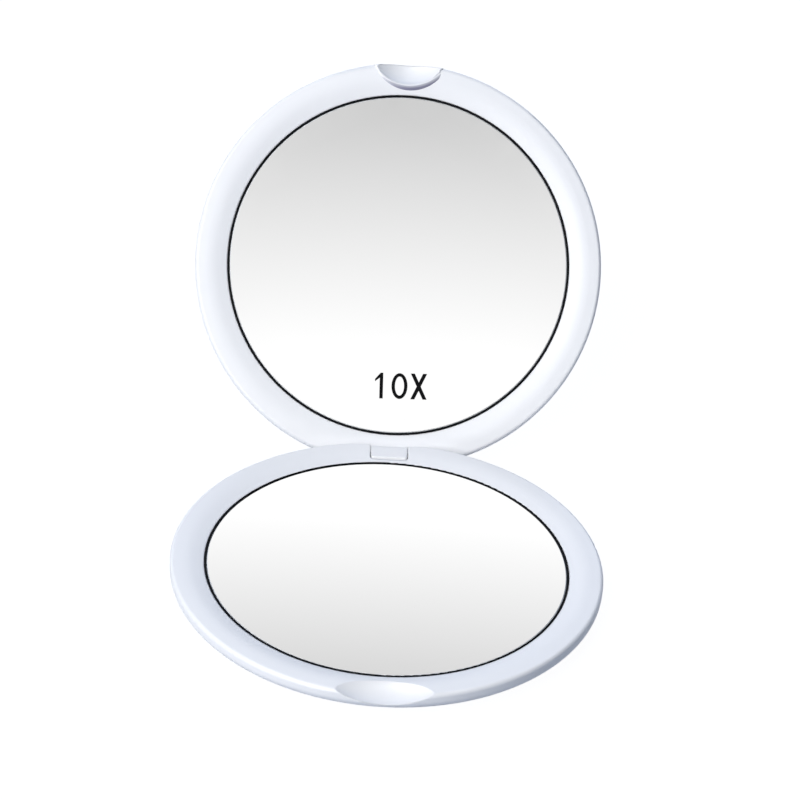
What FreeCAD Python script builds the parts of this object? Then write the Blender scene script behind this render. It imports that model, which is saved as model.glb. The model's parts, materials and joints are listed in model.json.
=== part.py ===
import FreeCAD, Part
import math
import os

from FreeCAD import Vector

# A round folding compact mirror: two dished halves on one hinge, a flat mirror in the base and a
# concave magnifying mirror in the lid. Millimetres, +Z up. The origin is the centre of the flat
# face the base rests on, X lies along the hinge, the hinge is at +Y and the finger holds at -Y.
# Each half is drawn in its own frame first: the crest of its rim is the plane z = 0, its back
# faces -Z and its hinge side is at +Y.

# Case: one outline for both halves
CASE_DIAMETER = 101.6       # across the widest line of the rim
HALF_THICKNESS = 8.0        # crest of the rim to the flat back
CLOSED_GAP = 0.3            # between the two crests when shut
OPEN_ANGLE = 127.0          # from shut to the stop, the pose that is modelled
RIM_WIDTH = 7.95            # widest line to the bore that holds the mirror
SHOULDER_ROUND = 0.9        # radius from the flat land onto the upright wall
SHOULDER_DROP = 1.9         # crest down to the foot of the wall, the widest line
LAND_WIDTH = 2.0            # flat land on the crest
CREST_ROUND = 12.0          # radius from the land onto the inner slope
LIP_DROP = 0.85             # crest down to the edge of the bore
BACK_ROUND = 19.0           # widest line in to the flat of the back
HINGE_FLAT = 0.8            # cut off the rim behind the hinge
WALL = 1.4                  # moulded walls of the bezels and of the hinge slot
COVER_WALL = 1.6            # moulded wall of the back covers
SEAT_CLEARANCE = 0.05       # between parts that are fitted and glued
FOOT_CLEARANCE = 0.15       # between the bezel's foot and the round of the cover

# Seam between bezel and cover, a tongue inside a lip
SEAM_DROP = 1.5             # widest line down to the seam
SEAM_GROOVE = 0.15          # corner taken off both parts along the seam
LIP_WALL = 2.8              # cover lip outside the tongue
TONGUE_THICK = 1.2
TONGUE_DEPTH = 1.0
TONGUE_FLOOR_GAP = 0.1

# Mirrors, their black edge seals and the foam pads they are stuck down with
GLASS_RECESS = 0.85         # crest down to the edge of the glass
GLASS_THICK = 1.8
GLASS_ARRIS = 0.2           # ground corner of the glass
MAGNIFIER_RADIUS = 450.0    # curvature of the magnifying mirror
SEAL_WIDTH = 0.65
SEAL_PROUD = 0.25           # seal above the edge of the glass
PAD_THICK = 0.85            # at the edge of the glass
PAD_MARGIN = 0.5            # pad inside the glass and inside the ledge
LEDGE_WIDTH = 4.5

# Cored pockets under the bezel
POCKET_ROOF = 1.7           # crest down to the roof of the pockets
POCKET_COUNT = 5            # on each side of the rim
POCKET_RIB = 1.6
SCOOP_BLOCK_ANGLE = 16.0    # half angle left solid round the finger holds
HINGE_BLOCK_ANGLE = 16.0    # half angle left solid round the hinge

# Finger scoop of the base, the hollow of a spindle laid along X
SCOOP_INSET = 1.6           # widest line in to the spindle's axis
SCOOP_LIFT = 2.2            # spindle's axis above the crest
SCOOP_RADIUS = 5.0          # spindle at its middle
SCOOP_HALF_LENGTH = 14.4    # spindle's middle to its point

# Finger tab of the lid, a raised lip round a dish, which lies in the scoop when shut
TAB_DEPTH = 6.6             # widest line in to the foot of the lip
TAB_ROUND = 9.5             # radius of the lip, seen from above
TAB_HEIGHT = 0.5            # lip above the crest
TAB_EDGE = 1.2              # rounded edge of the lip
DISH_INSET = 0.8            # widest line in to the axis of the dish's spindle
DISH_LIFT = 2.4             # spindle's axis above the crest
DISH_RADIUS = 5.0           # spindle at its middle
DISH_HALF_LENGTH = 9.7      # spindle's middle to its point

# Magnets that hold the compact shut
MAGNET_DIAMETER = 3.0
MAGNET_THICK = 1.5
MAGNET_SKIN = 1.1           # crest down to the pocket's end
MAGNET_ANGLE = 23.0         # off the front, to each side
MAGNET_WALL = 0.9
POST_SLACK = 0.3            # post thinner than the magnet, in radius

# Pegs that locate the bezel on the cover, and ribs inside the back
PEG_COUNT = 6
PEG_DIAMETER = 2.0
PEG_LENGTH = 1.0
PEG_FLOOR_GAP = 0.2
BOSS_WALL = 1.1
RIB_COUNT = 8
RIB_THICK = 1.0
RIB_GLASS_GAP = 0.75        # ribs below the lowest point of the magnifying mirror
RIB_INNER = 9.0             # inner end of the ribs, from the centre
RIB_OUTER_MARGIN = 2.0      # outer end of the ribs, in from the flat

# Hinge: a knuckle on the lid's bezel in a slot of the base, on a steel pin
HINGE_INSET = 2.6           # widest line in to the axis
HINGE_DROP = 2.35           # base crest down to the axis
KNUCKLE_WIDTH = 8.9
KNUCKLE_SKIM = 0.15         # knuckle below the crest of the base
KNUCKLE_ROOT = 1.5          # neck sunk into the lid's rim
PLATE_THICK = 1.1           # plate in front of the knuckle, flush with the open base
PLATE_EDGE = 0.2            # rounded edge of the plate
SLOT_GAP = 0.25             # between the knuckle and the slot, all round
SLOT_WALL = 0.7             # left between the slot and the mirror's bore
SLOT_CORNER = 0.8
PIN_DIAMETER = 1.5
PIN_LENGTH = 20.6
PIN_CHAMFER = 0.2
PIN_RUNNING_CLEARANCE = 0.05
PIN_SEAT_CLEARANCE = 0.02

RADIUS = CASE_DIAMETER / 2
LAND_RADIUS = RADIUS - SHOULDER_ROUND
CREST_RADIUS = LAND_RADIUS - LAND_WIDTH
BORE_RADIUS = RADIUS - RIM_WIDTH
GLASS_RADIUS = BORE_RADIUS - SEAL_WIDTH
FLAT_RADIUS = RADIUS - BACK_ROUND
LEDGE_RADIUS = BORE_RADIUS - LEDGE_WIDTH
POCKET_INNER = BORE_RADIUS + WALL
BACK_DEPTH = HALF_THICKNESS - SHOULDER_DROP
SEAM_Z = -SHOULDER_DROP - SEAM_DROP
SEAM_RADIUS = FLAT_RADIUS + BACK_ROUND * math.sqrt(1 - (SEAM_DROP / BACK_DEPTH) ** 2)
GROOVE_RADIUS = SEAM_RADIUS - SEAM_GROOVE
LIP_RADIUS = SEAM_RADIUS - LIP_WALL
TONGUE_RADIUS = LIP_RADIUS - SEAT_CLEARANCE
TONGUE_INNER = TONGUE_RADIUS - TONGUE_THICK
TONGUE_Z = SEAM_Z - TONGUE_DEPTH
FLOOR_Z = COVER_WALL - HALF_THICKNESS
FOOT_TURN = math.acos((POCKET_INNER - FLAT_RADIUS) / (BACK_ROUND - COVER_WALL))
FOOT_Z = -SHOULDER_DROP - (BACK_DEPTH - COVER_WALL) * math.sin(FOOT_TURN) + FOOT_CLEARANCE
GLASS_Z = -GLASS_RECESS
GLASS_BACK_Z = GLASS_Z - GLASS_THICK
LEDGE_Z = GLASS_BACK_Z - PAD_THICK
PIN_RADIUS = PIN_DIAMETER / 2
HINGE_Y = RADIUS - HINGE_INSET
KNUCKLE_RADIUS = HINGE_DROP - KNUCKLE_SKIM
SLOT_HALF = KNUCKLE_WIDTH / 2 + SLOT_GAP
SLOT_Y = BORE_RADIUS + SLOT_WALL
SLOT_RADIUS = HINGE_Y - SLOT_Y
NOSE_RADIUS = SLOT_RADIUS - SLOT_GAP
MAGNET_TRACK = (POCKET_INNER + TONGUE_RADIUS) / 2
PEG_TRACK = BORE_RADIUS - LEDGE_WIDTH / 2
FRONT = -90.0


def line(start, end):
    """Straight edge between two (radius, height) points."""
    return Part.LineSegment(Vector(start[0], 0, start[1]), Vector(end[0], 0, end[1])).toShape()


def polyline(points):
    """Straight edges through (radius, height) points."""
    return [line(a, b) for a, b in zip(points, points[1:])]


def arc(start, middle, end):
    """Circular edge through three (radius, height) points."""
    return Part.Arc(*[Vector(r, 0, z) for r, z in (start, middle, end)]).toShape()


def ellipse_arc(centre, reach, rise, turns):
    """Edge of an ellipse between two turns, counted from its outward end towards its rise."""
    middle = Vector(centre[0], 0, centre[1])
    outward = middle + Vector(reach, 0, 0)
    upward = middle + Vector(0, 0, rise)
    return Part.ArcOfEllipse(Part.Ellipse(outward, upward, middle), *turns).toShape()


def revolve(edges, start=0.0, sweep=360.0):
    """Solid swept about Z by a closed section drawn in the XZ plane."""
    section = Part.Face(Part.Wire(Part.__sortEdges__(edges)))
    section.rotate(Vector(), Vector(0, 0, 1), start)
    return section.revolve(Vector(), Vector(0, 0, 1), sweep)


def box(low, high):
    """Box between two opposite corners."""
    size = Vector(*high) - Vector(*low)
    return Part.makeBox(size.x, size.y, size.z, Vector(*low))


def cylinder(radius, low, high, track, angle):
    """Upright cylinder between two heights, on a circle about the case's axis."""
    turn = math.radians(angle)
    foot = Vector(track * math.cos(turn), track * math.sin(turn), low)
    return Part.makeCylinder(radius, high - low, foot)


def cross_cylinder(radius, half_width, z):
    """Cylinder along X on the hinge's line, at a height."""
    return Part.makeCylinder(radius, 2 * half_width, Vector(-half_width, HINGE_Y, z), Vector(1, 0, 0))


def rounded_roller(radius, half_width, corner):
    """Cylinder on the base's hinge axis with rounded ends."""
    roller = cross_cylinder(radius, half_width, -HINGE_DROP)
    ends = [edge for edge in roller.Edges if edge.BoundBox.XLength < corner]
    return roller.makeFillet(corner, ends)


def spindle(radius, half_length, inset, lift):
    """Spindle along X over the front of the rim, to hollow it for a fingertip."""
    bulge = Part.Arc(Vector(-half_length, 0, 0), Vector(0, radius, 0), Vector(half_length, 0, 0)).toShape()
    axis = Part.LineSegment(Vector(half_length, 0, 0), Vector(-half_length, 0, 0)).toShape()
    solid = Part.Face(Part.Wire([bulge, axis])).revolve(Vector(), Vector(1, 0, 0), 360)
    solid.translate(Vector(0, inset - RADIUS, lift))
    return solid


def inner_slope():
    """Rim from the edge of the bore up a straight slope, rounded onto the flat land."""
    run = CREST_RADIUS - BORE_RADIUS
    rise = CREST_ROUND - LIP_DROP
    turn = math.atan2(run, rise) - math.acos(CREST_ROUND / math.hypot(run, rise))
    top, middle, foot = [
        (CREST_RADIUS - CREST_ROUND * math.sin(t), CREST_ROUND * math.cos(t) - CREST_ROUND)
        for t in (0, turn / 2, turn)
    ]
    return [line((BORE_RADIUS, -LIP_DROP), foot), arc(foot, middle, top), line(top, (LAND_RADIUS, 0))]


def shoulder(lift):
    """Round from the land onto the wall and the wall down to its foot, lifted above the rim."""
    corner = SHOULDER_ROUND * (1 - math.sqrt(0.5))
    wall_top = (RADIUS, lift - SHOULDER_ROUND)
    rounded = arc((LAND_RADIUS, lift), (RADIUS - corner, lift - corner), wall_top)
    return [rounded, line(wall_top, (RADIUS, lift - SHOULDER_DROP))]


def back_arc(inset, turns):
    """Round of the back, or the same round moved in by a wall."""
    centre = (FLAT_RADIUS, -SHOULDER_DROP)
    return ellipse_arc(centre, BACK_ROUND - inset, inset - BACK_DEPTH, turns)


def groove_edge(drop):
    """Turn and place of an edge of the seam's groove, at a drop below the widest line."""
    turn = math.asin(drop / BACK_DEPTH)
    return turn, (FLAT_RADIUS + BACK_ROUND * math.cos(turn), -SHOULDER_DROP - drop)


def hinge_flat_cutter():
    """What is taken off the round rim to leave the flat behind the hinge."""
    return box((-RADIUS, RADIUS - HINGE_FLAT, -HALF_THICKNESS), (RADIUS, RADIUS, 0))


def slot_cutter():
    """Slot through the rear of the base for the lid's knuckle, its front wall round the pin."""
    well = rounded_roller(SLOT_RADIUS, SLOT_HALF, SLOT_CORNER)
    mouth = box((-SLOT_HALF, HINGE_Y, -HALF_THICKNESS), (SLOT_HALF, RADIUS, CLOSED_GAP))
    return well.fuse(mouth)


def rear_relief():
    """What is rounded off the base's rear edge, about the hinge, so the lid's rim rolls past it."""
    corner = box((-RADIUS, HINGE_Y, -HINGE_DROP), (RADIUS, RADIUS, CLOSED_GAP))
    return corner.cut(cross_cylinder(HINGE_DROP + CLOSED_GAP / 2, RADIUS, -HINGE_DROP))


def pocket_cutters():
    """Cored pockets under the rim, a row on each side between the finger hold and the hinge."""
    section = [
        (POCKET_INNER, SEAM_Z),
        (TONGUE_INNER, SEAM_Z),
        (TONGUE_INNER, -POCKET_ROOF),
        (POCKET_INNER, -POCKET_ROOF),
        (POCKET_INNER, SEAM_Z),
    ]
    rib_angle = math.degrees(POCKET_RIB / MAGNET_TRACK)
    span = 180 - SCOOP_BLOCK_ANGLE - HINGE_BLOCK_ANGLE
    sweep = (span + rib_angle) / POCKET_COUNT - rib_angle
    first = FRONT + SCOOP_BLOCK_ANGLE
    starts = [first + k * (sweep + rib_angle) for k in range(POCKET_COUNT)]
    mirrored = [2 * FRONT - start - sweep for start in starts]
    return [revolve(polyline(section), start, sweep) for start in starts + mirrored]


def magnet_angles():
    """Where the two magnets of a half sit, left one first."""
    return (FRONT - MAGNET_ANGLE, FRONT + MAGNET_ANGLE)


def peg_angles():
    """Where the locating pegs sit, evenly spaced and off the hinge and the finger hold."""
    step = 360 / PEG_COUNT
    return [FRONT + step * (k + 0.5) for k in range(PEG_COUNT)]


def bezel():
    """Ring that carries a mirror: rounded rim, bore with a ledge, tongue, pockets and pegs."""
    groove_turn, groove_top = groove_edge(SEAM_DROP - SEAM_GROOVE)
    outline = inner_slope() + shoulder(0) + [back_arc(0, (0, groove_turn))]
    outline += polyline([
        groove_top,
        (GROOVE_RADIUS, SEAM_Z),
        (TONGUE_RADIUS, SEAM_Z),
        (TONGUE_RADIUS, TONGUE_Z),
        (TONGUE_INNER, TONGUE_Z),
        (TONGUE_INNER, SEAM_Z),
        (POCKET_INNER, SEAM_Z),
        (POCKET_INNER, FOOT_Z),
        (LEDGE_RADIUS, FOOT_Z),
        (LEDGE_RADIUS, LEDGE_Z),
        (BORE_RADIUS, LEDGE_Z),
        (BORE_RADIUS, -LIP_DROP),
    ])
    ring = revolve(outline).cut(pocket_cutters())
    hold = MAGNET_DIAMETER / 2 + SEAT_CLEARANCE
    bosses = [
        cylinder(hold + MAGNET_WALL, SEAM_Z, -MAGNET_SKIN, MAGNET_TRACK, angle)
        for angle in magnet_angles()
    ]
    peg_root = (LEDGE_Z + FOOT_Z) / 2
    pegs = [
        cylinder(PEG_DIAMETER / 2, FOOT_Z - PEG_LENGTH, peg_root, PEG_TRACK, angle)
        for angle in peg_angles()
    ]
    sockets = [
        cylinder(hold, TONGUE_Z, -MAGNET_SKIN, MAGNET_TRACK, angle) for angle in magnet_angles()
    ]
    return ring.fuse(bosses + pegs).cut(sockets + [hinge_flat_cutter()])


def cover_blank():
    """Dished back with a lip round the bezel's tongue, before its inner features."""
    ledge_z = TONGUE_Z - TONGUE_FLOOR_GAP
    inner_turn = math.asin((-SHOULDER_DROP - ledge_z) / (BACK_DEPTH - COVER_WALL))
    inner_radius = FLAT_RADIUS + (BACK_ROUND - COVER_WALL) * math.cos(inner_turn)
    groove_turn, groove_foot = groove_edge(SEAM_DROP + SEAM_GROOVE)
    outline = [back_arc(0, (groove_turn, math.pi / 2)), back_arc(COVER_WALL, (inner_turn, math.pi / 2))]
    outline += polyline([
        (FLAT_RADIUS, -HALF_THICKNESS),
        (0, -HALF_THICKNESS),
        (0, FLOOR_Z),
        (FLAT_RADIUS, FLOOR_Z),
    ])
    outline += polyline([
        (inner_radius, ledge_z),
        (LIP_RADIUS, ledge_z),
        (LIP_RADIUS, SEAM_Z),
        (GROOVE_RADIUS, SEAM_Z),
        groove_foot,
    ])
    return revolve(outline)


def back_envelope():
    """The back of a half as a solid, to trim what is added inside the cover."""
    outline = [back_arc(0, (0, math.pi / 2))]
    outline += polyline([
        (FLAT_RADIUS, -HALF_THICKNESS),
        (0, -HALF_THICKNESS),
        (0, -SHOULDER_DROP),
        (RADIUS, -SHOULDER_DROP),
    ])
    return revolve(outline)


def cover():
    """Back cover of a half, with stiffening ribs, peg bosses and posts behind the magnets."""
    sunk = FLOOR_Z - COVER_WALL / 2
    rib_top = GLASS_BACK_Z - curve_sag(GLASS_RADIUS) - RIB_GLASS_GAP
    step = 360 / RIB_COUNT
    added = []
    for k in range(RIB_COUNT):
        rib = box(
            (RIB_INNER, -RIB_THICK / 2, sunk),
            (FLAT_RADIUS - RIB_OUTER_MARGIN, RIB_THICK / 2, rib_top),
        )
        rib.rotate(Vector(), Vector(0, 0, 1), step * (k + 0.5))
        added.append(rib)
    peg_hole = PEG_DIAMETER / 2 + SEAT_CLEARANCE
    added += [
        cylinder(peg_hole + BOSS_WALL, sunk, FOOT_Z - SEAT_CLEARANCE, PEG_TRACK, angle)
        for angle in peg_angles()
    ]
    post_top = -MAGNET_SKIN - MAGNET_THICK - 2 * SEAT_CLEARANCE
    added += [
        cylinder(MAGNET_DIAMETER / 2 - POST_SLACK, sunk, post_top, MAGNET_TRACK, angle)
        for angle in magnet_angles()
    ]
    trimmed = added[0].fuse(added[1:]).common(back_envelope())
    holes = [
        cylinder(peg_hole, FOOT_Z - PEG_LENGTH - PEG_FLOOR_GAP, FOOT_Z, PEG_TRACK, angle)
        for angle in peg_angles()
    ]
    return cover_blank().fuse(trimmed).cut(holes + [hinge_flat_cutter()]).removeSplitter()


def pin_room(clearance):
    """Bore of the hinge pin through the base's rim, open downwards so the pin drops in."""
    half = PIN_LENGTH / 2 + clearance
    radius = PIN_RADIUS + clearance
    bore = cross_cylinder(radius, half, -HINGE_DROP)
    mouth = box((-half, HINGE_Y - radius, -HALF_THICKNESS), (half, HINGE_Y + radius, -HINGE_DROP))
    return bore.fuse(mouth)


def slot_walls():
    """Walls of the base cover round the hinge slot, and the keepers that hold the pin up."""
    outer = SLOT_HALF + WALL
    front = box((-outer, SLOT_Y - WALL, -HALF_THICKNESS), (outer, RADIUS, FOOT_Z - SEAT_CLEARANCE))
    sides = box(
        (-outer, POCKET_INNER + SEAT_CLEARANCE, -HALF_THICKNESS),
        (outer, RADIUS, SEAM_Z - SEAT_CLEARANCE),
    )
    keeper_half = PIN_LENGTH / 2 - SEAT_CLEARANCE
    keeper_depth = PIN_RADIUS - SEAT_CLEARANCE
    keepers = box(
        (-keeper_half, HINGE_Y - keeper_depth, -HALF_THICKNESS),
        (keeper_half, HINGE_Y + keeper_depth, -HINGE_DROP - PIN_RADIUS - PIN_SEAT_CLEARANCE),
    )
    return front.fuse([sides, keepers]).common(back_envelope())


def base_bezel():
    """Bezel of the base: the finger scoop, the slot for the knuckle and the seats of the pin."""
    outer = SLOT_HALF + WALL + SEAT_CLEARANCE
    tongue_gap = box((-outer, TONGUE_INNER - WALL, TONGUE_Z), (outer, RADIUS, SEAM_Z))
    scoop = spindle(SCOOP_RADIUS, SCOOP_HALF_LENGTH, SCOOP_INSET, SCOOP_LIFT)
    cutters = [scoop, tongue_gap, pin_room(PIN_SEAT_CLEARANCE), slot_cutter(), rear_relief()]
    return bezel().cut(cutters).removeSplitter()


def base_cover():
    """Cover of the base: walls round the hinge slot, and the slot itself."""
    body = cover().fuse(slot_walls())
    return body.cut([slot_cutter(), hinge_flat_cutter()]).removeSplitter()


def finger_tab():
    """Raised tab on the front of the lid's rim, with a rounded lip, before it is dished."""
    outline = shoulder(TAB_HEIGHT) + polyline([
        (LAND_RADIUS, TAB_HEIGHT),
        (BORE_RADIUS, TAB_HEIGHT),
        (BORE_RADIUS, TAB_HEIGHT - SHOULDER_DROP),
        (RADIUS, TAB_HEIGHT - SHOULDER_DROP),
    ])
    plan = cylinder(TAB_ROUND, -SHOULDER_DROP, TAB_HEIGHT, RADIUS - TAB_DEPTH + TAB_ROUND, FRONT)
    lip = [edge for edge in plan.Edges if edge.BoundBox.ZMin > TAB_HEIGHT - TAB_EDGE]
    return plan.makeFillet(TAB_EDGE, lip).common(revolve(outline))


def knuckle_plate():
    """Plate in front of the knuckle, drawn where it lies flush with the base when open."""
    half = KNUCKLE_WIDTH / 2
    nose = rounded_roller(NOSE_RADIUS, half, SLOT_CORNER - SLOT_GAP)
    slab = box(
        (-half, HINGE_Y - NOSE_RADIUS, -KNUCKLE_SKIM - PLATE_THICK),
        (half, HINGE_Y, -KNUCKLE_SKIM),
    )
    plate = nose.common(slab)
    rim = [
        edge
        for edge in plate.Edges
        if edge.BoundBox.ZMin > -KNUCKLE_SKIM - PLATE_EDGE and edge.BoundBox.YMin < HINGE_Y - PLATE_EDGE
    ]
    return plate.makeFillet(PLATE_EDGE, rim)


def to_lid(shape):
    """Moves what is drawn on the base, where the open lid meets it, into the lid's own frame."""
    shape.rotate(Vector(0, HINGE_Y, -HINGE_DROP), Vector(1, 0, 0), OPEN_ANGLE)
    shape.translate(Vector(0, 0, -CLOSED_GAP))
    shape.rotate(Vector(), Vector(0, 1, 0), 180)
    return shape


def lid_bezel():
    """Bezel of the lid: the dished finger tab, and the knuckle on a neck with its front plate."""
    axis_z = HINGE_DROP + CLOSED_GAP
    half = KNUCKLE_WIDTH / 2
    barrel = cross_cylinder(KNUCKLE_RADIUS, half, axis_z)
    neck = box(
        (-half, HINGE_Y - KNUCKLE_RADIUS, -KNUCKLE_ROOT),
        (half, RADIUS - HINGE_FLAT, axis_z),
    )
    dish = spindle(DISH_RADIUS, DISH_HALF_LENGTH, DISH_INSET, DISH_LIFT)
    bore = cross_cylinder(PIN_RADIUS + PIN_RUNNING_CLEARANCE, half, axis_z)
    body = bezel().fuse([finger_tab(), barrel, neck, to_lid(knuckle_plate())])
    return body.cut([dish, bore]).removeSplitter()


def ground(disc):
    """Takes the sharp corners off the two round edges of a glass disc."""
    corners = [edge for edge in disc.Edges if edge.BoundBox.ZLength < GLASS_ARRIS]
    return disc.makeChamfer(GLASS_ARRIS, corners)


def flat_mirror():
    """Plain silvered glass with ground corners."""
    return ground(cylinder(GLASS_RADIUS, GLASS_BACK_Z, GLASS_Z, 0, 0))


def curve_sag(radius):
    """Rise of the magnifier's curve above its middle."""
    return MAGNIFIER_RADIUS - math.sqrt(MAGNIFIER_RADIUS ** 2 - radius ** 2)


def ball(edge_z):
    """Ball of the magnifier's curve, its poles off to the sides, through a height at the glass's edge."""
    centre = Vector(0, 0, edge_z - curve_sag(GLASS_RADIUS) + MAGNIFIER_RADIUS)
    return Part.makeSphere(MAGNIFIER_RADIUS, centre, Vector(1, 0, 0))


def magnifying_mirror():
    """Bent glass of even thickness, hollow towards the user, with ground corners."""
    blank = cylinder(GLASS_RADIUS, -HALF_THICKNESS, GLASS_THICK, 0, 0)
    return ground(blank.common(ball(GLASS_BACK_Z)).cut(ball(GLASS_Z)))


def edge_seal():
    """Black band between the glass and the bore, with a slightly crowned top."""
    inner = GLASS_RADIUS + SEAT_CLEARANCE
    outer = BORE_RADIUS - SEAT_CLEARANCE
    crown = (inner + outer) / 2, GLASS_Z + SEAL_PROUD
    sides = polyline([(outer, GLASS_Z), (outer, LEDGE_Z), (inner, LEDGE_Z), (inner, GLASS_Z)])
    return revolve(sides + [arc((inner, GLASS_Z), crown, (outer, GLASS_Z))])


def flat_pad():
    """Foam ring between the ledge and the flat mirror."""
    inner = LEDGE_RADIUS + PAD_MARGIN
    outer = GLASS_RADIUS - PAD_MARGIN
    return revolve(polyline([
        (inner, LEDGE_Z),
        (outer, LEDGE_Z),
        (outer, GLASS_BACK_Z),
        (inner, GLASS_BACK_Z),
        (inner, LEDGE_Z),
    ]))


def dished_pad():
    """Foam ring between the ledge and the curved back of the magnifying mirror."""
    return flat_pad().cut(ball(GLASS_BACK_Z - SEAT_CLEARANCE))


def magnet(angle):
    """Disc magnet in its socket under the rim."""
    top = -MAGNET_SKIN - SEAT_CLEARANCE
    return cylinder(MAGNET_DIAMETER / 2, top - MAGNET_THICK, top, MAGNET_TRACK, angle)


def hinge_pin():
    """Steel pin across the slot, with chamfered ends."""
    pin = cross_cylinder(PIN_RADIUS, PIN_LENGTH / 2, -HINGE_DROP)
    ends = [edge for edge in pin.Edges if edge.BoundBox.XLength < PIN_CHAMFER]
    return pin.makeChamfer(PIN_CHAMFER, ends)


def place_base(shape):
    """Stand a half on its back."""
    shape.translate(Vector(0, 0, HALF_THICKNESS))
    return shape


def place_lid(shape):
    """Turn a half over onto the base, then swing it open about the hinge."""
    shape.rotate(Vector(), Vector(0, 1, 0), 180)
    shape.translate(Vector(0, 0, HALF_THICKNESS + CLOSED_GAP))
    shape.rotate(Vector(0, HINGE_Y, HALF_THICKNESS - HINGE_DROP), Vector(1, 0, 0), -OPEN_ANGLE)
    return shape


left, right = magnet_angles()
base_pieces = {
    "base_cover": base_cover(),
    "base_bezel": base_bezel(),
    "base_mirror_pad": flat_pad(),
    "base_mirror_seal": edge_seal(),
    "base_mirror": flat_mirror(),
    "base_magnet_left": magnet(left),
    "base_magnet_right": magnet(right),
    "hinge_pin": hinge_pin(),
}
lid_pieces = {
    "lid_cover": cover(),
    "lid_bezel": lid_bezel(),
    "lid_mirror_pad": dished_pad(),
    "lid_mirror_seal": edge_seal(),
    "lid_mirror": magnifying_mirror(),
    "lid_magnet_left": magnet(right),
    "lid_magnet_right": magnet(left),
}

os.makedirs("parts", exist_ok=True)
for name, shape in base_pieces.items():
    place_base(shape).exportStep(f"parts/{name}.step")
for name, shape in lid_pieces.items():
    place_lid(shape).exportStep(f"parts/{name}.step")
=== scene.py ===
import json
import math

import bmesh
import bpy
from mathutils import Matrix, Vector


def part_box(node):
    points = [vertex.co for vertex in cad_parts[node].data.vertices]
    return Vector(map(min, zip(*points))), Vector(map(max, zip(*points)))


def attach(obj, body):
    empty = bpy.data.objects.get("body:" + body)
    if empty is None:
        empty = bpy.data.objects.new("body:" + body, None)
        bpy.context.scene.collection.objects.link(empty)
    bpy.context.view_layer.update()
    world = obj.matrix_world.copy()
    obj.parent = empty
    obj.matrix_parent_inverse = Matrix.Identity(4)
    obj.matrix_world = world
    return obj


# A round white compact mirror, open on its hinge: a magnifying mirror in the lid and a plain one
# in the base, each in a rounded bezel with a black line round the glass.
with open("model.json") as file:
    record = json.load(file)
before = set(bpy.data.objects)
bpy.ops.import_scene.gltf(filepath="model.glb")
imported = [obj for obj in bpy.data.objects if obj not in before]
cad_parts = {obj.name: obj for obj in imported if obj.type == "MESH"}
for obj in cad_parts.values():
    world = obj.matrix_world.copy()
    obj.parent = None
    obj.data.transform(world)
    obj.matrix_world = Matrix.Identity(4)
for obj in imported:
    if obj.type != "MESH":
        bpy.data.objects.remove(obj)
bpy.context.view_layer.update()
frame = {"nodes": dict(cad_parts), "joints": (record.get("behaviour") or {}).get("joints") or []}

# Base cover and base bezel: the dished back of the base and the ring round its mirror, moulded in
# white ABS from polished tools and glued at the seam under the widest line. The bezel carries the
# finger scoop in front and the slot for the lid's knuckle behind.
MM = 0.001
ABS_WHITE = "#EFEFF0"
ABS_COOL = "#EBEBED"
ABS_IOR = 1.53
ABS_SHINY = 0.38
ABS_HANDLED = 0.44
FLOW_SIZE = 30 * MM
RIPPLE_SIZE = 2.5 * MM
RIPPLE_DEPTH = 0.0012 * MM
HANDLING_SIZE = 6 * MM
HANDLING_FROM = 0.3
HANDLING_TO = 0.7
EDGE_ROUND = 0.5 * MM
EDGE_SAMPLES = 6
# A Mix node's two colours and their mixture, by the numbers of their sockets.
COLOUR_A = 6
COLOUR_B = 7
MIXTURE = 2


def srgb(code):
    """Linear colour of an sRGB hex value."""
    colour = []
    for start in (1, 3, 5):
        share = int(code[start:start + 2], 16) / 255
        colour.append(share / 12.92 if share <= 0.04045 else ((share + 0.055) / 1.055) ** 2.4)
    return colour + [1.0]


def add(tree, kind, inputs, **settings):
    """Adds a node to a tree: settings are its properties, inputs are values or sockets to link."""
    node = tree.nodes.new(kind)
    for name, value in settings.items():
        setattr(node, name, value)
    for key, value in inputs.items():
        if isinstance(value, bpy.types.NodeSocket):
            tree.links.new(value, node.inputs[key])
        else:
            node.inputs[key].default_value = value
    return node


def new_material(name):
    """Empty node material, and its output node."""
    material = bpy.data.materials.new(name)
    material.use_nodes = True
    material.node_tree.nodes.clear()
    return material, add(material.node_tree, "ShaderNodeOutputMaterial", {})


def dress(material, *names):
    """Gives CAD nodes a finished material in place of the plain one."""
    for name in names:
        frame["nodes"][name].material_slots[0].material = material


# Moulded ABS: a soft gloss, faintly cloudy where the melt flowed, with a very slight ripple in the
# shine and duller patches where it is handled. Its edges are a little round, so they catch light.
abs_plastic, output = new_material("moulded_white_abs")
tree = abs_plastic.node_tree
place = add(tree, "ShaderNodeTexCoord", {}).outputs["Object"]
flow = add(tree, "ShaderNodeTexNoise", {"Vector": place, "Scale": 1 / FLOW_SIZE, "Detail": 2.0})
ripple = add(tree, "ShaderNodeTexNoise", {"Vector": place, "Scale": 1 / RIPPLE_SIZE, "Detail": 1.0})
handling = add(tree, "ShaderNodeTexNoise", {
    "Vector": place, "Scale": 1 / HANDLING_SIZE, "Detail": 3.0,
})
tint = add(tree, "ShaderNodeMix", {
    "Factor": flow.outputs["Fac"], COLOUR_A: srgb(ABS_WHITE), COLOUR_B: srgb(ABS_COOL),
}, data_type="RGBA")
dull = add(tree, "ShaderNodeMapRange", {
    "Value": handling.outputs["Fac"], "From Min": HANDLING_FROM, "From Max": HANDLING_TO,
    "To Min": ABS_SHINY, "To Max": ABS_HANDLED,
})
edges = add(tree, "ShaderNodeBevel", {"Radius": EDGE_ROUND}, samples=EDGE_SAMPLES)
bump = add(tree, "ShaderNodeBump", {
    "Height": ripple.outputs["Fac"], "Distance": RIPPLE_DEPTH, "Normal": edges.outputs["Normal"],
})
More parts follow.
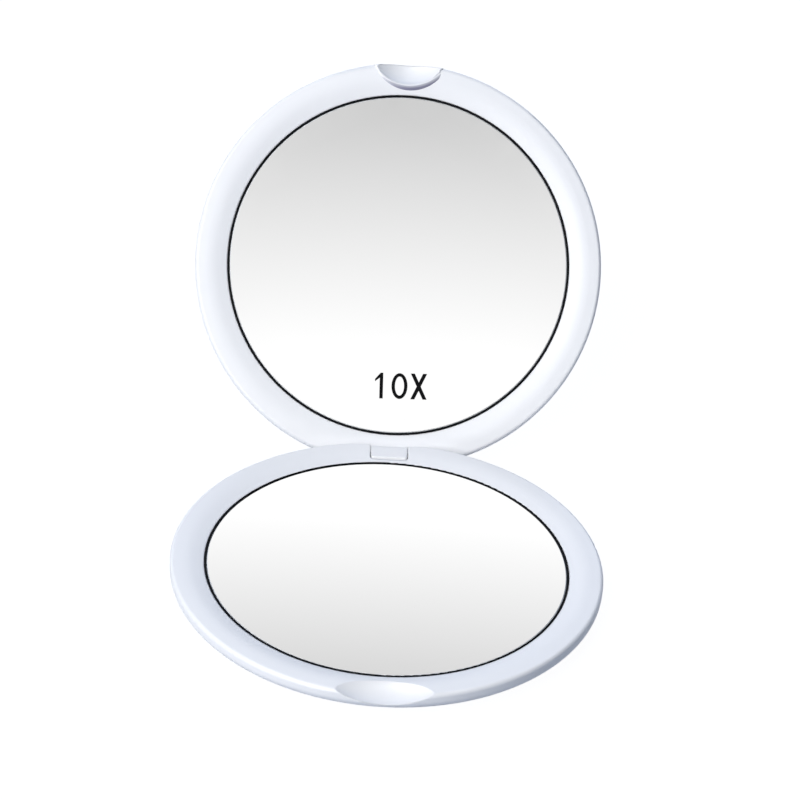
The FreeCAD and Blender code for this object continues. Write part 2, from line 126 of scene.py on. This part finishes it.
shine = add(tree, "ShaderNodeBsdfPrincipled", {
    "Base Color": tint.outputs[MIXTURE], "Roughness": dull.outputs["Result"],
    "Normal": bump.outputs["Normal"], "IOR": ABS_IOR,
})
tree.links.new(shine.outputs["BSDF"], output.inputs["Surface"])
dress(abs_plastic, "base_cover", "base_bezel")

# Hinge pin: a straight length of drawn steel wire with chamfered ends, held between the base's
# bezel and cover. Drawing leaves fine lines along it, so its shine is streaked lengthways.
STEEL = "#B9BABC"
STEEL_WORN = "#A3A5A8"
STEEL_SMOOTH = 0.25
STEEL_STREAKED = 0.45
DRAW_LINE = 0.08 * MM
DRAW_LENGTH = 4 * MM
steel, output = new_material("drawn_steel")
tree = steel.node_tree
place = add(tree, "ShaderNodeTexCoord", {}).outputs["Object"]
along = add(tree, "ShaderNodeMapping", {
    "Vector": place, "Scale": (1 / DRAW_LENGTH, 1 / DRAW_LINE, 1 / DRAW_LINE),
})
lines = add(tree, "ShaderNodeTexNoise", {"Vector": along.outputs[0], "Scale": 1.0, "Detail": 3.0})
tint = add(tree, "ShaderNodeMix", {
    "Factor": lines.outputs["Fac"], COLOUR_A: srgb(STEEL), COLOUR_B: srgb(STEEL_WORN),
}, data_type="RGBA")
drawn = add(tree, "ShaderNodeMapRange", {
    "Value": lines.outputs["Fac"], "To Min": STEEL_SMOOTH, "To Max": STEEL_STREAKED,
})
metal = add(tree, "ShaderNodeBsdfPrincipled", {
    "Base Color": tint.outputs[MIXTURE], "Metallic": 1.0, "Roughness": drawn.outputs["Result"],
})
tree.links.new(metal.outputs["BSDF"], output.inputs["Surface"])
dress(steel, "hinge_pin")

# Base magnets: two sintered discs pressed into sockets under the rim, plated with nickel. The
# plating is bright but slightly pebbled over the sintered grain.
NICKEL = "#CFCBC2"
NICKEL_GREY = "#BDB9B1"
NICKEL_BRIGHT = 0.15
NICKEL_PEBBLED = 0.3
GRAIN_SIZE = 0.15 * MM
GRAIN_DEPTH = 0.004 * MM
nickel, output = new_material("nickel_plate")
tree = nickel.node_tree
place = add(tree, "ShaderNodeTexCoord", {}).outputs["Object"]
grain = add(tree, "ShaderNodeTexNoise", {"Vector": place, "Scale": 1 / GRAIN_SIZE, "Detail": 2.0})
tint = add(tree, "ShaderNodeMix", {
    "Factor": grain.outputs["Fac"], COLOUR_A: srgb(NICKEL), COLOUR_B: srgb(NICKEL_GREY),
}, data_type="RGBA")
pebbled = add(tree, "ShaderNodeMapRange", {
    "Value": grain.outputs["Fac"], "To Min": NICKEL_BRIGHT, "To Max": NICKEL_PEBBLED,
})
bump = add(tree, "ShaderNodeBump", {"Height": grain.outputs["Fac"], "Distance": GRAIN_DEPTH})
metal = add(tree, "ShaderNodeBsdfPrincipled", {
    "Base Color": tint.outputs[MIXTURE], "Metallic": 1.0, "Roughness": pebbled.outputs["Result"],
    "Normal": bump.outputs["Normal"],
})
tree.links.new(metal.outputs["BSDF"], output.inputs["Surface"])
dress(nickel, "base_magnet_left", "base_magnet_right")

# Base mirror pad: a ring cut from closed-cell polyethylene foam, sticky on both sides, that holds
# the mirror on the bezel's ledge. Its cut cells make it matt and finely pitted.
FOAM_PALE = "#C9C8C2"
FOAM_DARK = "#A9A8A2"
FOAM_MATT = 0.9
CELL_SIZE = 0.35 * MM
CELL_DEPTH = 0.1 * MM
foam, output = new_material("closed_cell_foam")
tree = foam.node_tree
place = add(tree, "ShaderNodeTexCoord", {}).outputs["Object"]
cells = add(tree, "ShaderNodeTexVoronoi", {"Vector": place, "Scale": 1 / CELL_SIZE})
tint = add(tree, "ShaderNodeMix", {
    "Factor": cells.outputs["Distance"], COLOUR_A: srgb(FOAM_PALE), COLOUR_B: srgb(FOAM_DARK),
}, data_type="RGBA")
bump = add(tree, "ShaderNodeBump", {"Height": cells.outputs["Distance"], "Distance": CELL_DEPTH})
skin = add(tree, "ShaderNodeBsdfPrincipled", {
    "Base Color": tint.outputs[MIXTURE], "Roughness": FOAM_MATT, "Normal": bump.outputs["Normal"],
})
tree.links.new(skin.outputs["BSDF"], output.inputs["Surface"])
dress(foam, "base_mirror_pad")

# Base mirror seal: a bead of black sealant between the glass and the bore, smoothed off while wet.
# It is a deep satin black with slow waves left by the nozzle, and shines very little.
SEALANT_BLACK = "#08090B"
SEALANT_GREY = "#141519"
SEALANT_SATIN = 0.6
SEALANT_SHINE = 0.05
BEAD_WAVE = 3 * MM
BEAD_DEPTH = 0.02 * MM
sealant, output = new_material("black_sealant")
tree = sealant.node_tree
place = add(tree, "ShaderNodeTexCoord", {}).outputs["Object"]
waves = add(tree, "ShaderNodeTexNoise", {"Vector": place, "Scale": 1 / BEAD_WAVE, "Detail": 2.0})
tint = add(tree, "ShaderNodeMix", {
    "Factor": waves.outputs["Fac"], COLOUR_A: srgb(SEALANT_BLACK), COLOUR_B: srgb(SEALANT_GREY),
}, data_type="RGBA")
bump = add(tree, "ShaderNodeBump", {"Height": waves.outputs["Fac"], "Distance": BEAD_DEPTH})
bead = add(tree, "ShaderNodeBsdfPrincipled", {
    "Base Color": tint.outputs[MIXTURE], "Roughness": SEALANT_SATIN,
    "Normal": bump.outputs["Normal"], "Specular IOR Level": SEALANT_SHINE,
})
tree.links.new(bead.outputs["BSDF"], output.inputs["Surface"])
dress(sealant, "base_mirror_seal")

# Base mirror: a disc of plain float glass with ground corners, silvered and painted on the back.
# The polished face reflects cleanly under a breath of haze, and the ground corner is a white line.
SILVER = "#FDFDFD"
GROUND_WHITE = "#F2F4F5"
GROUND_GREY = "#DDE0E2"
GROUND_FROSTED = 0.6
GLASS_IOR = 1.52
GRIT_SIZE = 0.1 * MM
HAZE_SIZE = 12 * MM
HAZE_FROM = 0.35
HAZE_TO = 0.7
HAZE_MOST = 0.012
FACE_COSINE = 0.95


def silvered_glass(name, facing):
    """Mirror glass that is polished where it faces one way and ground on its corners and edge."""
    material, output = new_material(name)
    tree = material.node_tree
    coordinates = add(tree, "ShaderNodeTexCoord", {})
    breath = add(tree, "ShaderNodeTexNoise", {
        "Vector": coordinates.outputs["Object"], "Scale": 1 / HAZE_SIZE, "Detail": 4.0,
    })
    haze = add(tree, "ShaderNodeMapRange", {
        "Value": breath.outputs["Fac"], "From Min": HAZE_FROM, "From Max": HAZE_TO,
        "To Min": 0.0, "To Max": HAZE_MOST,
    })
    polished = add(tree, "ShaderNodeBsdfPrincipled", {
        "Base Color": srgb(SILVER), "Metallic": 1.0, "Roughness": haze.outputs["Result"],
    })
    grit = add(tree, "ShaderNodeTexNoise", {
        "Vector": coordinates.outputs["Object"], "Scale": 1 / GRIT_SIZE, "Detail": 2.0,
    })
    frosted = add(tree, "ShaderNodeMix", {
        "Factor": grit.outputs["Fac"], COLOUR_A: srgb(GROUND_WHITE), COLOUR_B: srgb(GROUND_GREY),
    }, data_type="RGBA")
    ground = add(tree, "ShaderNodeBsdfPrincipled", {
        "Base Color": frosted.outputs[MIXTURE], "Roughness": GROUND_FROSTED, "IOR": GLASS_IOR,
    })
    lean = add(tree, "ShaderNodeVectorMath", {
        0: coordinates.outputs["Normal"], 1: facing,
    }, operation="DOT_PRODUCT")
    face = add(tree, "ShaderNodeMath", {
        0: lean.outputs["Value"], 1: FACE_COSINE,
    }, operation="GREATER_THAN")
    glass = add(tree, "ShaderNodeMixShader", {
        0: face.outputs[0], 1: ground.outputs[0], 2: polished.outputs[0],
    })
    tree.links.new(glass.outputs[0], output.inputs["Surface"])
    return material


dress(silvered_glass("silvered_float_glass", Vector((0, 0, 1))), "base_mirror")

# Lid cover and lid bezel: the same mouldings as in the base, with the dished finger tab and the
# knuckle that turns on the pin. The magnets, the pad and the seal are the base's again. The way the
# lid faces follows from the hinge's range, which runs from open to shut.
dress(abs_plastic, "lid_cover", "lid_bezel")
dress(nickel, "lid_magnet_left", "lid_magnet_right")
dress(foam, "lid_mirror_pad")
dress(sealant, "lid_mirror_seal")
hinge = frame["joints"][0]
open_turn = Matrix.Rotation(-math.radians(hinge["range_deg"][1]), 3, "X")
lid_facing = open_turn @ Vector((0, 0, -1))
lid_upward = open_turn @ Vector((0, -1, 0))

# Finger lip: the rolled edge between the lid's finger dish and its rim, moulded with the bezel in the
# same ABS. Its section is swept round the tab: a steep wall towards the mirror, a top that rolls over
# into the dish, and both ends sunk into the tab.
SHUT_HEIGHT = 8.3 * MM
LIP_ASIDE = 0.4 * MM
LIP_CENTRE = 55.95 * MM
LIP_ROUND = 11.9 * MM
LIP_SPREAD = 46
LIP_LEVEL = 22
LIP_STEPS = 72
# The section is in millimetres, out from the foot of the wall and up from the bezel's crest, which is
# at SHUT_HEIGHT when the lid is shut. The top's first numbers are shares of the lip's width, which
# grows from the left end to the right. The spread and the level stretch are in degrees.
LIP_WALL = ((-0.30, -1.05), (0.00, -0.55), (0.20, -0.22), (0.40, 0.10), (0.55, 0.30))
LIP_TOP = (
    (0.62, 0.46), (0.74, 0.56), (0.84, 0.585), (0.92, 0.55), (1.00, 0.42), (1.08, 0.16), (1.20, -0.40),
)
LIP_WIDTH = 1.30
LIP_WIDER = 0.345
LIP_SINK = 0.5
# Painted shade on the lip: a grey where it faces down and right, from none to full over two shares.
LIP_PAINTED_SHADE = "#807F96"
LIP_SHADE_TOWARDS_RIGHT = 0.5
LIP_SHADE_TOWARDS_DOWN = 0.86
LIP_SHADE_FROM = 0.12
LIP_SHADE_FULL = 0.68


def add_piece(name, shape, material):
    """Makes an object of a finished mesh and puts it in the scene."""
    mesh = bpy.data.meshes.new(name)
    shape.to_mesh(mesh)
    shape.free()
    mesh.materials.append(material)
    piece = bpy.data.objects.new(name, mesh)
    bpy.context.scene.collection.objects.link(piece)
    return piece


hinge_place = Vector(hinge["pos_m"])
lid_middle = hinge_place + open_turn @ (Vector((0, 0, SHUT_HEIGHT)) - hinge_place)
shape = bmesh.new()
rows = []
for step in range(LIP_STEPS + 1):
    angle = LIP_SPREAD * (2 * step / LIP_STEPS - 1)
    sink = LIP_SINK * max(0, (abs(angle) - LIP_LEVEL) / (LIP_SPREAD - LIP_LEVEL)) ** 2
    width = LIP_WIDTH + LIP_WIDER * angle / LIP_SPREAD
    row = []
    for out, up in LIP_WALL + tuple((share * width, up) for share, up in LIP_TOP):
        radius = LIP_ROUND - out * MM
        across = LIP_ASIDE + radius * math.sin(math.radians(angle))
        along = LIP_CENTRE - radius * math.cos(math.radians(angle))
        row.append(shape.verts.new(
            lid_middle + Vector((across, 0, 0)) + lid_upward * along + lid_facing * (up - sink) * MM
        ))
    rows.append(row)
for row, after in zip(rows, rows[1:]):
    for this in range(len(row)):
        following = (this + 1) % len(row)
        shape.faces.new([row[this], row[following], after[following], after[this]])
for row in (rows[0], rows[-1]):
    shape.faces.new(row)
bmesh.ops.recalc_face_normals(shape, faces=shape.faces[:])
for face in shape.faces:
    face.smooth = True
# The lip's section is already round, so its ABS goes without the softened edges. Its steep side,
# down and to the right, is painted with shade: its colour turns to a cool grey by how far it faces
# that way, so that it reads as a soft dark crescent under the dish.
lip_shaded_plastic = abs_plastic.copy()
lip_shaded_plastic.name = "moulded_white_abs_lip_painted_shade"
tree = lip_shaded_plastic.node_tree
tree.nodes.remove(next(node for node in tree.nodes if node.bl_idname == "ShaderNodeBevel"))
lean = add(tree, "ShaderNodeVectorMath", {
    0: add(tree, "ShaderNodeTexCoord", {}).outputs["Normal"],
    1: Vector((LIP_SHADE_TOWARDS_RIGHT, 0, 0)) - lid_upward * LIP_SHADE_TOWARDS_DOWN,
}, operation="DOT_PRODUCT")
lip_shade_mask = add(tree, "ShaderNodeMapRange", {
    "Value": lean.outputs["Value"], "From Min": LIP_SHADE_FROM, "From Max": LIP_SHADE_FULL,
})
shine = next(node for node in tree.nodes if node.bl_idname == "ShaderNodeBsdfPrincipled")
white_tint = shine.inputs["Base Color"].links[0].from_socket
shaded = add(tree, "ShaderNodeMix", {
    "Factor": lip_shade_mask.outputs["Result"], COLOUR_A: white_tint, COLOUR_B: srgb(LIP_PAINTED_SHADE),
}, data_type="RGBA")
tree.links.new(shaded.outputs[MIXTURE], shine.inputs["Base Color"])
lip = add_piece("finger_lip", shape, lip_shaded_plastic)
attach(lip, "lid")

# Lid mirror: the same glass as in the base, bent hollow so that it magnifies. It lies on its own pad
# in the lid's bezel and turns with the lid.
dress(silvered_glass("silvered_bent_glass", lid_facing), "lid_mirror")

# Printed figure: the power of the magnifying mirror, screen printed on its face in black enamel and
# stoved. The ink lies flat and slightly uneven, with a satin shine.
FIGURE_HEIGHT = 6.5 * MM
FIGURE_STROKE = 0.86 * MM
FIGURE_OFFSET = 1.85 * MM
FIGURE_FROM_MIDDLE = 30.4 * MM
FIGURE_TURN = 1.4
ONE_PLACE = -4.55 * MM
ONE_FLAG = 1.6 * MM
FLAG_TIP = 0.7 * FIGURE_STROKE
FLAG_ROOT = 1.5 * FIGURE_STROKE
ZERO_WIDTH = 4.0 * MM
ZERO_POINTS = 48
CROSS_PLACE = 4.8 * MM
CROSS_WIDTH = 4.1 * MM
INK_THICK = 0.03 * MM
INK_SUNK = 0.01 * MM
INK_BLACK = "#060607"
INK_THIN = "#0E0E10"
INK_SMOOTH = 0.35
INK_UNEVEN = 0.55
INK_SHINE = 0.03
INK_MOTTLE = 0.6 * MM

half = FIGURE_HEIGHT / 2
stroke = FIGURE_STROKE
one = [
    (stroke / 2, -half), (stroke / 2, half), (-stroke / 4, half), (-ONE_FLAG, half - ONE_FLAG),
    (-ONE_FLAG, half - ONE_FLAG - FLAG_TIP), (-stroke / 2, half - FLAG_ROOT), (-stroke / 2, -half),
]
bar = stroke * math.hypot(CROSS_WIDTH, FIGURE_HEIGHT) / FIGURE_HEIGHT / 2
reach = CROSS_WIDTH / 2 - bar
notch = bar * half / reach
cross = [
    (-reach - bar, half), (-bar, 0), (-reach - bar, -half), (-reach + bar, -half),
    (0, -notch), (reach - bar, -half), (reach + bar, -half), (bar, 0),
    (reach + bar, half), (reach - bar, half), (0, notch), (-reach + bar, half),
]
shape = bmesh.new()
for outline, across in ((one, ONE_PLACE), (cross, CROSS_PLACE)):
    shape.faces.new([shape.verts.new((x + across, y, 0)) for x, y in outline])
angles = [2 * math.pi * step / ZERO_POINTS for step in range(ZERO_POINTS)]
rings = []
for inset in (0, stroke):
    wide = ZERO_WIDTH / 2 - inset
    tall = half - inset
    points = [(wide * math.cos(angle), tall * math.sin(angle), 0) for angle in angles]
    rings.append([shape.verts.new(point) for point in points])
outer, inner = rings
for this in range(ZERO_POINTS):
    following = (this + 1) % ZERO_POINTS
    shape.faces.new([outer[this], outer[following], inner[following], inner[this]])
# The upper side of the ink is marked by a height of 1, and then both sides are laid on the glass.
raised = bmesh.ops.extrude_face_region(shape, geom=shape.faces[:])["geom"]
for item in raised:
    if isinstance(item, bmesh.types.BMVert):
        item.co.z = 1.0
bmesh.ops.recalc_face_normals(shape, faces=shape.faces[:])
bmesh.ops.rotate(shape, verts=shape.verts[:], matrix=Matrix.Rotation(math.radians(FIGURE_TURN), 3, "Z"))
lid_glass = frame["nodes"]["lid_mirror"]
low, high = [Vector(corner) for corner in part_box("lid_mirror")]
glass_middle = (low + high) / 2
for vert in shape.verts:
    aside = Vector((FIGURE_OFFSET + vert.co.x, 0, 0))
    spot = glass_middle + aside + lid_upward * (vert.co.y - FIGURE_FROM_MIDDLE)
    start = spot + lid_facing * FIGURE_HEIGHT
    _, on_glass, _, _ = lid_glass.ray_cast(start, -lid_facing)
    vert.co = on_glass + lid_facing * (INK_THICK if vert.co.z else -INK_SUNK)
ink, output = new_material("stoved_black_enamel")
tree = ink.node_tree
place = add(tree, "ShaderNodeTexCoord", {}).outputs["Object"]
mottle = add(tree, "ShaderNodeTexNoise", {"Vector": place, "Scale": 1 / INK_MOTTLE, "Detail": 2.0})
tint = add(tree, "ShaderNodeMix", {
    "Factor": mottle.outputs["Fac"], COLOUR_A: srgb(INK_BLACK), COLOUR_B: srgb(INK_THIN),
}, data_type="RGBA")
satin = add(tree, "ShaderNodeMapRange", {
    "Value": mottle.outputs["Fac"], "To Min": INK_SMOOTH, "To Max": INK_UNEVEN,
})
enamel = add(tree, "ShaderNodeBsdfPrincipled", {
    "Base Color": tint.outputs[MIXTURE], "Roughness": satin.outputs["Result"],
    "Specular IOR Level": INK_SHINE,
})
tree.links.new(enamel.outputs["BSDF"], output.inputs["Surface"])
figure = add_piece("printed_figure", shape, ink)
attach(figure, "lid")

# The lid in reflections: the lower mirror shows only the studio's plain backdrop, so the lid and
# what rides on it are left out of what shiny surfaces see.
for piece in [figure, lip] + [node for name, node in frame["nodes"].items() if name.startswith("lid_")]:
    piece.visible_glossy = False

# Floor: a wide sheet of pale grey card that the compact stands on. The camera and the shiny pieces
# see a glow mixed with the lit card. The two together come to white, and a part of the compact's
# shadow stays on it.
FLOOR_HALF = 3.0
CARD_GREY = "#9CA8BC"
CARD_SHARE = 0.25
CARD_GLOW = 1.29
WHITE = "#FFFFFF"


def shiny_rays(tree, paths):
    """Socket that is 1 for what shiny and clear surfaces see."""
    return add(tree, "ShaderNodeMath", {
        0: paths.outputs["Is Glossy Ray"], 1: paths.outputs["Is Transmission Ray"],
    }, operation="MAXIMUM").outputs[0]


shape = bmesh.new()
corners = [(x * FLOOR_HALF, y * FLOOR_HALF, 0) for x, y in ((-1, -1), (1, -1), (1, 1), (-1, 1))]
shape.faces.new([shape.verts.new(corner) for corner in corners])
pale_card, output = new_material("pale_card")
tree = pale_card.node_tree
paths = add(tree, "ShaderNodeLightPath", {})
card = add(tree, "ShaderNodeBsdfDiffuse", {"Color": srgb(CARD_GREY)})
glow = add(tree, "ShaderNodeEmission", {"Color": srgb(WHITE), "Strength": CARD_GLOW})
looking = add(tree, "ShaderNodeMath", {
    0: paths.outputs["Is Camera Ray"], 1: shiny_rays(tree, paths),
}, operation="MAXIMUM")
glow_share = add(tree, "ShaderNodeMath", {
    0: looking.outputs[0], 1: 1 - CARD_SHARE,
}, operation="MULTIPLY")
mixed = add(tree, "ShaderNodeMixShader", {
    0: glow_share.outputs[0], 1: card.outputs[0], 2: glow.outputs[0],
})
tree.links.new(mixed.outputs[0], output.inputs["Surface"])
floor = add_piece("floor", shape, pale_card)

# Studio: a dim cool room that fills the shadows. The camera sees it white. The shiny pieces see its
# walls graded: in front white to grey to white going up, and white to grey behind, cool low down.
# Heights and depths on the walls are sines of the angle above the floor and towards the back.
ROOM_FILL = "#45505E"
WALL_COOL = "#9FB0CF"
WALL_WHITE = 1.03
FRONT_GREY = 0.61
FRONT_GREY_BELOW = 0.596
FRONT_WHITE_ABOVE = 0.738
SKYLINE_TOP = 0.5
BACK_GREY = 0.71
BACK_WHITE_BELOW = 0.571
BACK_GREY_ABOVE = 0.611
SIDE_BLEND = 0.2
COOL_BELOW = 0.25
COOL_GONE_ABOVE = 0.45
COOL_GONE_BESIDE = 0.6
COOL_BEHIND = 0.9
# A Mix node's two numbers, by the numbers of their sockets.
NUMBER_A = 2
NUMBER_B = 3
world = bpy.data.worlds.new("studio")
bpy.context.scene.world = world
world.use_nodes = True
tree = world.node_tree
tree.nodes.clear()
output = add(tree, "ShaderNodeOutputWorld", {})
direction = add(tree, "ShaderNodeSeparateXYZ", {
    0: add(tree, "ShaderNodeTexCoord", {}).outputs["Generated"],
})
upward = direction.outputs["Z"]
backward = direction.outputs["Y"]
front_high = add(tree, "ShaderNodeMapRange", {
    "Value": upward, "From Min": FRONT_GREY_BELOW, "From Max": FRONT_WHITE_ABOVE,
    "To Min": FRONT_GREY, "To Max": WALL_WHITE,
})
skyline = add(tree, "ShaderNodeMapRange", {
    "Value": upward, "From Min": 0.0, "From Max": SKYLINE_TOP, "To Min": WALL_WHITE, "To Max": FRONT_GREY,
})
front = add(tree, "ShaderNodeMath", {
    0: front_high.outputs["Result"], 1: skyline.outputs["Result"],
}, operation="MAXIMUM")
back = add(tree, "ShaderNodeMapRange", {
    "Value": upward, "From Min": BACK_WHITE_BELOW, "From Max": BACK_GREY_ABOVE,
    "To Min": WALL_WHITE, "To Max": BACK_GREY,
})
side = add(tree, "ShaderNodeMapRange", {
    "Value": backward, "From Min": -SIDE_BLEND, "From Max": SIDE_BLEND,
})
walls = add(tree, "ShaderNodeMix", {
    "Factor": side.outputs["Result"], NUMBER_A: front.outputs[0], NUMBER_B: back.outputs["Result"],
}, data_type="FLOAT")
high_up = add(tree, "ShaderNodeMapRange", {
    "Value": upward, "From Min": COOL_BELOW, "From Max": COOL_GONE_ABOVE,
})
beside = add(tree, "ShaderNodeMapRange", {
    "Value": backward, "From Min": COOL_GONE_BESIDE, "From Max": COOL_BEHIND,
    "To Min": 1.0, "To Max": 0.0,
})
pale = add(tree, "ShaderNodeMath", {
    0: high_up.outputs["Result"], 1: beside.outputs["Result"],
}, operation="MAXIMUM")
tint = add(tree, "ShaderNodeMix", {
    "Factor": pale.outputs[0], COLOUR_A: srgb(WALL_COOL), COLOUR_B: srgb(WHITE),
}, data_type="RGBA")
paths = add(tree, "ShaderNodeLightPath", {})
fill = add(tree, "ShaderNodeBackground", {"Color": srgb(ROOM_FILL), "Strength": 1.0})
graded = add(tree, "ShaderNodeBackground", {
    "Color": tint.outputs[MIXTURE], "Strength": walls.outputs[0],
})
white = add(tree, "ShaderNodeBackground", {"Color": srgb(WHITE), "Strength": 1.0})
reflected = add(tree, "ShaderNodeMixShader", {
    0: shiny_rays(tree, paths), 1: fill.outputs[0], 2: graded.outputs[0],
})
seen = add(tree, "ShaderNodeMixShader", {
    0: paths.outputs["Is Camera Ray"], 1: reflected.outputs[0], 2: white.outputs[0],
})
tree.links.new(seen.outputs[0], output.inputs["Surface"])

# Lamps: a large white soft box high on the left in front, a weak bluish one overhead, like a sky
# light, and one low behind for the back of the lid, all aimed just above the hinge. Only the first
# shows in reflections. Each has a direction from the point it is aimed at, its watts and its colour.
LAMP_DISTANCE = 1.1
LAMP_SIZE = 0.9
LIT_POINT = Vector((0, 48, 20)) * MM
LAMPS = (
    ("key", (-0.50, -0.62, 0.60), 13.8, WHITE),
    ("sky", (0.00, 0.52, 0.85), 3.9, "#CCDEFF"),
    ("rear", (0.10, 0.95, 0.28), 5.0, "#E6EEFF"),
)
for name, towards, watts, colour in LAMPS:
    lamp_data = bpy.data.lights.new(name, "AREA")
    lamp_data.size = LAMP_SIZE
    lamp_data.energy = watts
    lamp_data.color = srgb(colour)[:3]
    lamp = bpy.data.objects.new(name, lamp_data)
    lamp.location = LIT_POINT + Vector(towards).normalized() * LAMP_DISTANCE
    lamp.rotation_euler = Vector(towards).to_track_quat("Z", "Y").to_euler()
    lamp.visible_glossy = name == "key"
    bpy.context.scene.collection.objects.link(lamp)

# Camera: stands in front and above with a long lens, turned a little about its own axis, as in the
# photograph. Its angles are in degrees, and it aims just above the hinge.
IMAGE_WIDTH = 800
FOCAL_PIXELS = 3057.45
SENSOR_WIDTH = 36.0
NEAREST = 0.01
VIEW_DISTANCE = 748.57 * MM
VIEW_ELEVATION = 32.566
VIEW_AZIMUTH = -1.691
VIEW_ROLL = 3.972
AIM = Vector((1.79, 48.0, 22.33)) * MM
camera_data = bpy.data.cameras.new("camera")
camera_data.sensor_width = SENSOR_WIDTH
camera_data.lens = FOCAL_PIXELS / IMAGE_WIDTH * SENSOR_WIDTH
camera_data.clip_start = NEAREST
camera = bpy.data.objects.new("camera", camera_data)
turn = Matrix.Rotation(math.radians(VIEW_AZIMUTH), 4, "Z")
turn = turn @ Matrix.Rotation(math.radians(90 - VIEW_ELEVATION), 4, "X")
turn = turn @ Matrix.Rotation(math.radians(VIEW_ROLL), 4, "Z")
camera.matrix_world = Matrix.Translation(AIM) @ turn @ Matrix.Translation((0, 0, VIEW_DISTANCE))
bpy.context.scene.collection.objects.link(camera)
bpy.context.scene.camera = camera
bpy.context.scene.view_settings.view_transform = "Standard"
